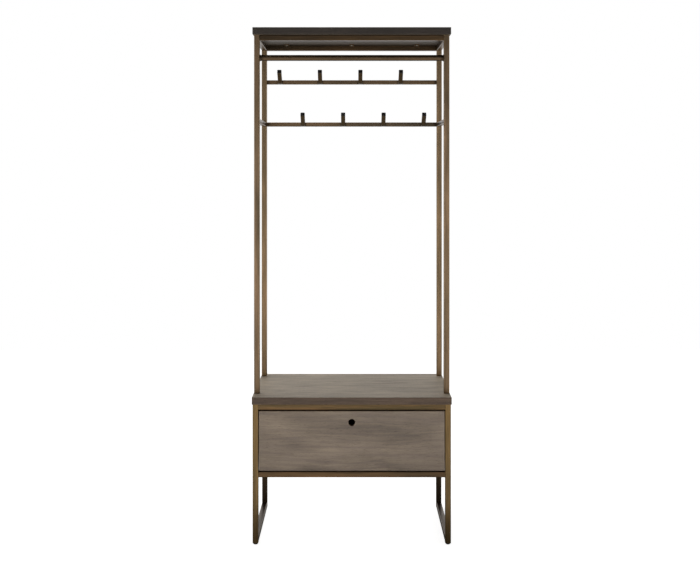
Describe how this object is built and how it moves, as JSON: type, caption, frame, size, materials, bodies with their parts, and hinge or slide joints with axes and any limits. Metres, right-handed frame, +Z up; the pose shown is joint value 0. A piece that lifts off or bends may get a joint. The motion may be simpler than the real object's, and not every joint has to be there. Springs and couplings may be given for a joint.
{
  "type": "hall tree with hooks",
  "caption": "Hall tree with a steel tube frame, a bench seat over one wide drawer, staggered rows of angled coat hooks, a hanging rod and a top shelf.",
  "frame": {"origin": "on the floor, under the middle of the bench", "axes": "+Z up, +Y to the back, +X to the right as seen from the front; the drawer opens along -Y"},
  "size_m": [0.704, 0.4, 1.82],
  "materials": {
    "weathered_oak_board": "matt grey-brown oak veneer on board, greyed",
    "weathered_oak_front": "matt grey-brown oak veneer on board, greyed",
    "case_board": "matt board",
    "drawer_board": "matt board",
    "drawer_base_board": "thin hardboard",
    "zinc_fittings": "bright zinc plate",
    "slide_steel": "zinc-plated rolled steel",
    "bearing_steel": "polished balls in plated strips",
    "black_plastic": "moulded black plastic",
    "hook_steel": "dark antique brass lacquer",
    "bronzed_steel": "antique brass lacquer, satin"
  },
  "bodies": {
    "frame": {"back_panel": "case_board", "base_bottom_rail_front": "bronzed_steel", "base_bottom_rail_left": "bronzed_steel", "base_bottom_rail_rear": "bronzed_steel", "base_bottom_rail_right": "bronzed_steel", "base_leg_front_left": "bronzed_steel", "base_leg_front_right": "bronzed_steel", "base_leg_rear_left": "bronzed_steel", "base_leg_rear_right": "bronzed_steel", "base_top_rail_front": "bronzed_steel", "base_top_rail_left": "bronzed_steel", "base_top_rail_rear": "bronzed_steel", "base_top_rail_right": "bronzed_steel", "bench_seat": "weathered_oak_board", "coat_hooks": "hook_steel", "fixing_tabs": "bronzed_steel", "floor_glides": "black_plastic", "floor_rail_left": "bronzed_steel", "floor_rail_right": "bronzed_steel", "hanging_rod": "bronzed_steel", "hook_end_caps": "black_plastic", "hook_rail_lower": "bronzed_steel", "hook_rail_upper": "bronzed_steel", "mid_rail_left": "bronzed_steel", "mid_rail_right": "bronzed_steel", "post_bolts": "zinc_fittings", "post_connectors": "black_plastic", "post_foot_plugs": "zinc_fittings", "post_front_left": "bronzed_steel", "post_front_right": "bronzed_steel", "post_rear_left": "bronzed_steel", "post_rear_right": "bronzed_steel", "side_panel_left": "case_board", "side_panel_right": "case_board", "slide_cabinet_member_left": "slide_steel", "slide_cabinet_member_right": "slide_steel", "top_post_front_left": "bronzed_steel", "top_post_front_right": "bronzed_steel", "top_post_rear_left": "bronzed_steel", "top_post_rear_right": "bronzed_steel", "top_rail_front": "bronzed_steel", "top_rail_left": "bronzed_steel", "top_rail_rear": "bronzed_steel", "top_rail_right": "bronzed_steel", "top_shelf": "weathered_oak_board", "wood_screws": "zinc_fittings"},
    "drawer": {"drawer_front": "weathered_oak_front", "drawer_side_left": "drawer_board", "drawer_side_right": "drawer_board", "drawer_back": "drawer_board", "drawer_bottom": "drawer_base_board", "drawer_cam_bolts": "zinc_fittings", "drawer_cam_locks": "zinc_fittings", "drawer_screws": "zinc_fittings", "slide_drawer_member_left": "slide_steel", "slide_drawer_member_right": "slide_steel"},
    "slide_middle_left": {"slide_middle_member_left": "slide_steel"},
    "slide_middle_right": {"slide_middle_member_right": "slide_steel"},
    "outer_cages": {"outer_ball_cages": "bearing_steel"},
    "inner_cages": {"inner_ball_cages": "bearing_steel"}
  },
  "joints": [
    {"name": "drawer_slide", "type": "slide", "parent": "frame", "child": "drawer", "axis": [0, -1, 0], "range_m": [0, 0.3]},
    {"name": "slide_middle_left_slide", "type": "slide", "parent": "frame", "child": "slide_middle_left", "axis": [0, -1, 0], "range_m": [0, 0.15]},
    {"name": "slide_middle_right_slide", "type": "slide", "parent": "frame", "child": "slide_middle_right", "axis": [0, -1, 0], "range_m": [0, 0.15]},
    {"name": "outer_cages_slide", "type": "slide", "parent": "frame", "child": "outer_cages", "axis": [0, -1, 0], "range_m": [0, 0.075]},
    {"name": "inner_cages_slide", "type": "slide", "parent": "frame", "child": "inner_cages", "axis": [0, -1, 0], "range_m": [0, 0.225]}
  ],
  "couplings": [
    {"joint": "slide_middle_left_slide", "follows": "drawer_slide", "ratio": 0.5},
    {"joint": "slide_middle_right_slide", "follows": "drawer_slide", "ratio": 0.5},
    {"joint": "outer_cages_slide", "follows": "drawer_slide", "ratio": 0.25},
    {"joint": "inner_cages_slide", "follows": "drawer_slide", "ratio": 0.75}
  ]
}
